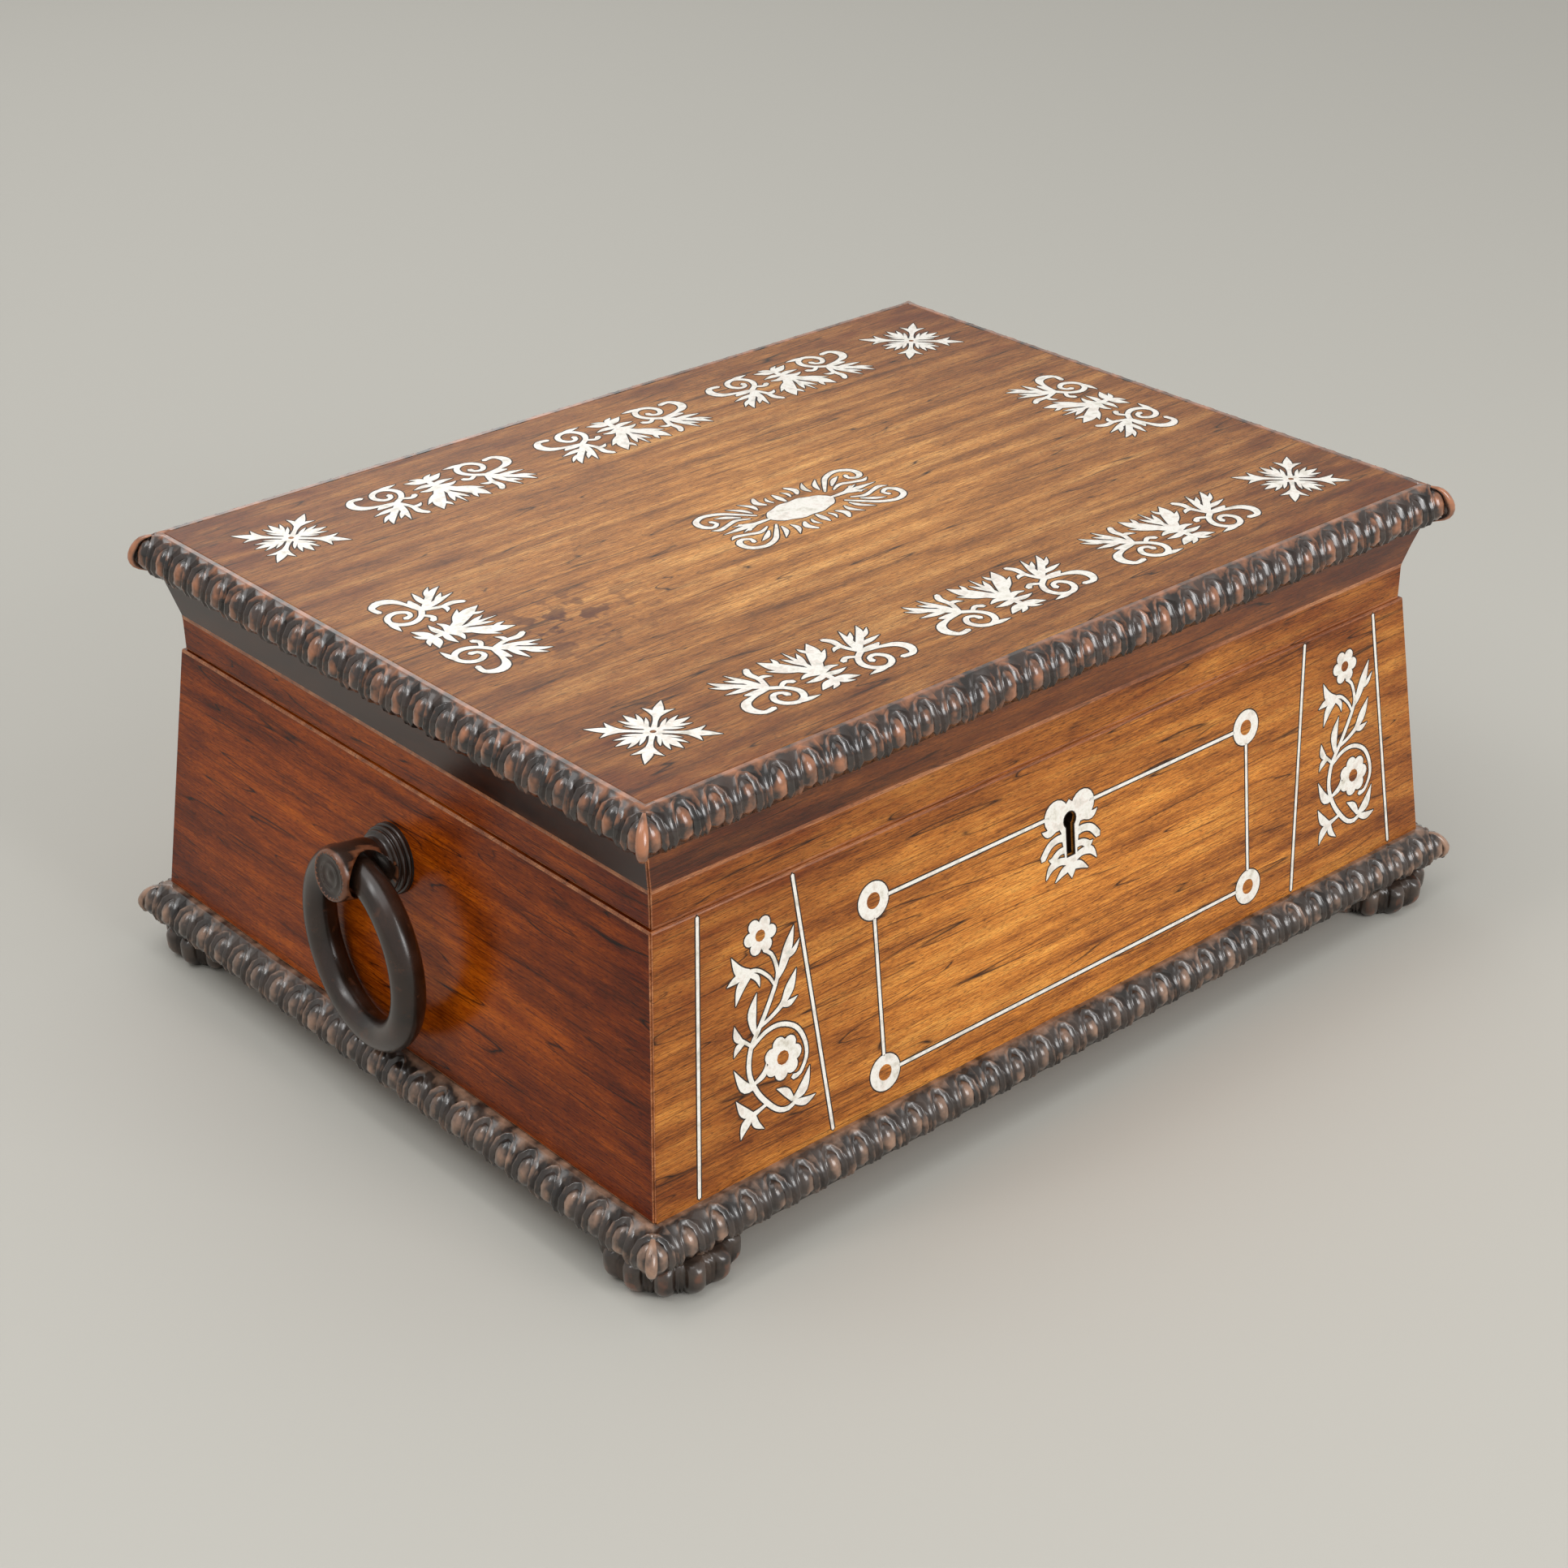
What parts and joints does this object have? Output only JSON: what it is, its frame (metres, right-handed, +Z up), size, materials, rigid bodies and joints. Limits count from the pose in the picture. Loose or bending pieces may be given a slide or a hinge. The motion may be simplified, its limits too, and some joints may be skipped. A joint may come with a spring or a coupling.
{
  "type": "sewing box",
  "caption": "Lidded sarcophagus box with carved mouldings, pearl inlay, ring handles, lock, hinges and a lift-out sewing tray.",
  "frame": {"origin": "middle of the footprint, on the surface that the feet stand on", "axes": "+X to the right of someone who faces the keyhole, -Y out of the front, +Z up"},
  "size_m": [0.3462, 0.255, 0.141],
  "materials": {
    "rosewood": "rosewood veneer, french polished",
    "carved_rosewood": "carved rosewood, darkened, rubbed on its crowns",
    "turned_rosewood": "turned rosewood, polished",
    "mother_of_pearl": "flat mother of pearl, engraved",
    "lining_board": "cedar board, waxed",
    "brass": "old brass, dull",
    "steel": "filed steel",
    "silk": "woven silk over wadding"
  },
  "bodies": {
    "case": {"case_front": "rosewood", "case_back": "rosewood", "case_left": "rosewood", "case_right": "rosewood", "case_bottom": "rosewood", "base_moulding_front": "carved_rosewood", "base_moulding_back": "carved_rosewood", "base_moulding_left": "carved_rosewood", "base_moulding_right": "carved_rosewood", "lining_front": "lining_board", "lining_back": "lining_board", "lining_left": "lining_board", "lining_right": "lining_board", "foot_front_left": "carved_rosewood", "foot_back_left": "carved_rosewood", "foot_front_right": "carved_rosewood", "foot_back_right": "carved_rosewood", "handle_boss_left": "turned_rosewood", "handle_boss_right": "turned_rosewood", "front_strings": "mother_of_pearl", "front_roundels": "mother_of_pearl", "front_spray_left": "mother_of_pearl", "front_spray_right": "mother_of_pearl", "escutcheon": "mother_of_pearl", "lock_case": "brass", "hinge_case_leaf_left": "brass", "hinge_case_leaf_right": "brass", "hinge_pin_left": "steel", "hinge_pin_right": "steel"},
    "lid": {"lid_top": "rosewood", "lid_front": "rosewood", "lid_back": "rosewood", "lid_left": "rosewood", "lid_right": "rosewood", "lid_pad": "silk", "top_moulding_front": "carved_rosewood", "top_moulding_back": "carved_rosewood", "top_moulding_left": "carved_rosewood", "top_moulding_right": "carved_rosewood", "top_rosettes": "mother_of_pearl", "top_scrolls": "mother_of_pearl", "top_cartouche": "mother_of_pearl", "top_oval": "mother_of_pearl", "link_plate": "brass", "hinge_lid_leaf_left": "brass", "hinge_lid_leaf_right": "brass"},
    "ring_left": {"handle_ring_left": "turned_rosewood"},
    "ring_right": {"handle_ring_right": "turned_rosewood"},
    "lock_bolt": {"lock_bolt": "steel"},
    "tray": {"tray_floor": "lining_board", "tray_front": "lining_board", "tray_back": "lining_board", "tray_left": "lining_board", "tray_right": "lining_board", "tray_divider_front": "lining_board", "tray_divider_back": "lining_board", "tray_divider_left": "lining_board", "tray_divider_right": "lining_board", "pincushion": "silk"}
  },
  "joints": [
    {"name": "lid_hinge", "type": "hinge", "parent": "case", "child": "lid", "pos_m": [0, 0.1131, 0.1035], "axis": [-1, 0, 0], "range_deg": [0, 100]},
    {"name": "ring_left_swing", "type": "hinge", "parent": "case", "child": "ring_left", "pos_m": [-0.1634, 0, 0.0808], "axis": [0, 1, 0], "range_deg": [0, 175]},
    {"name": "ring_right_swing", "type": "hinge", "parent": "case", "child": "ring_right", "pos_m": [0.1634, 0, 0.0808], "axis": [0, -1, 0], "range_deg": [0, 175]},
    {"name": "lock_bolt_slide", "type": "slide", "parent": "case", "child": "lock_bolt", "axis": [1, 0, 0], "range_m": [0, 0.005]},
    {"name": "tray_lift", "type": "slide", "parent": "case", "child": "tray", "axis": [0, 0, 1], "range_m": [0, 0.02]}
  ]
}
